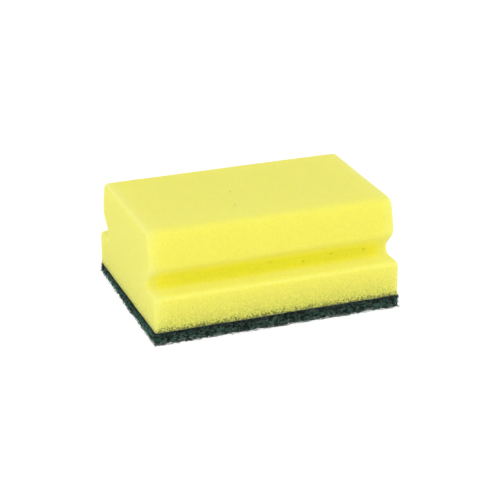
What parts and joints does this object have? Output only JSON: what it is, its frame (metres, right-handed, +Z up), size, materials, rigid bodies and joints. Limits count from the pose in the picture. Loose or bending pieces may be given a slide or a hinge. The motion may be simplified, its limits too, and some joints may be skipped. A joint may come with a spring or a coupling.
{
  "type": "cleaning sponge",
  "caption": "Rectangular foam block with a finger groove along each long side and a rounded grip above, bonded to a thin scouring pad underneath.",
  "frame": {"origin": "middle of the scouring pad's underside, which is the middle of the bounding box's base", "axes": "+X along the length, parallel to the finger grooves; +Y across the width; +Z up, out of the foam's top face"},
  "size_m": [0.095, 0.07, 0.041],
  "materials": {
    "foam": "matt open-cell polyurethane foam, lemon yellow, with fine pores",
    "scouring_web": "coarse resin-bonded fibre web, dark green, with a ragged edge"
  },
  "bodies": {
    "root": {"foam_block": "foam", "scouring_pad": "scouring_web"}
  },
  "joints": []
}
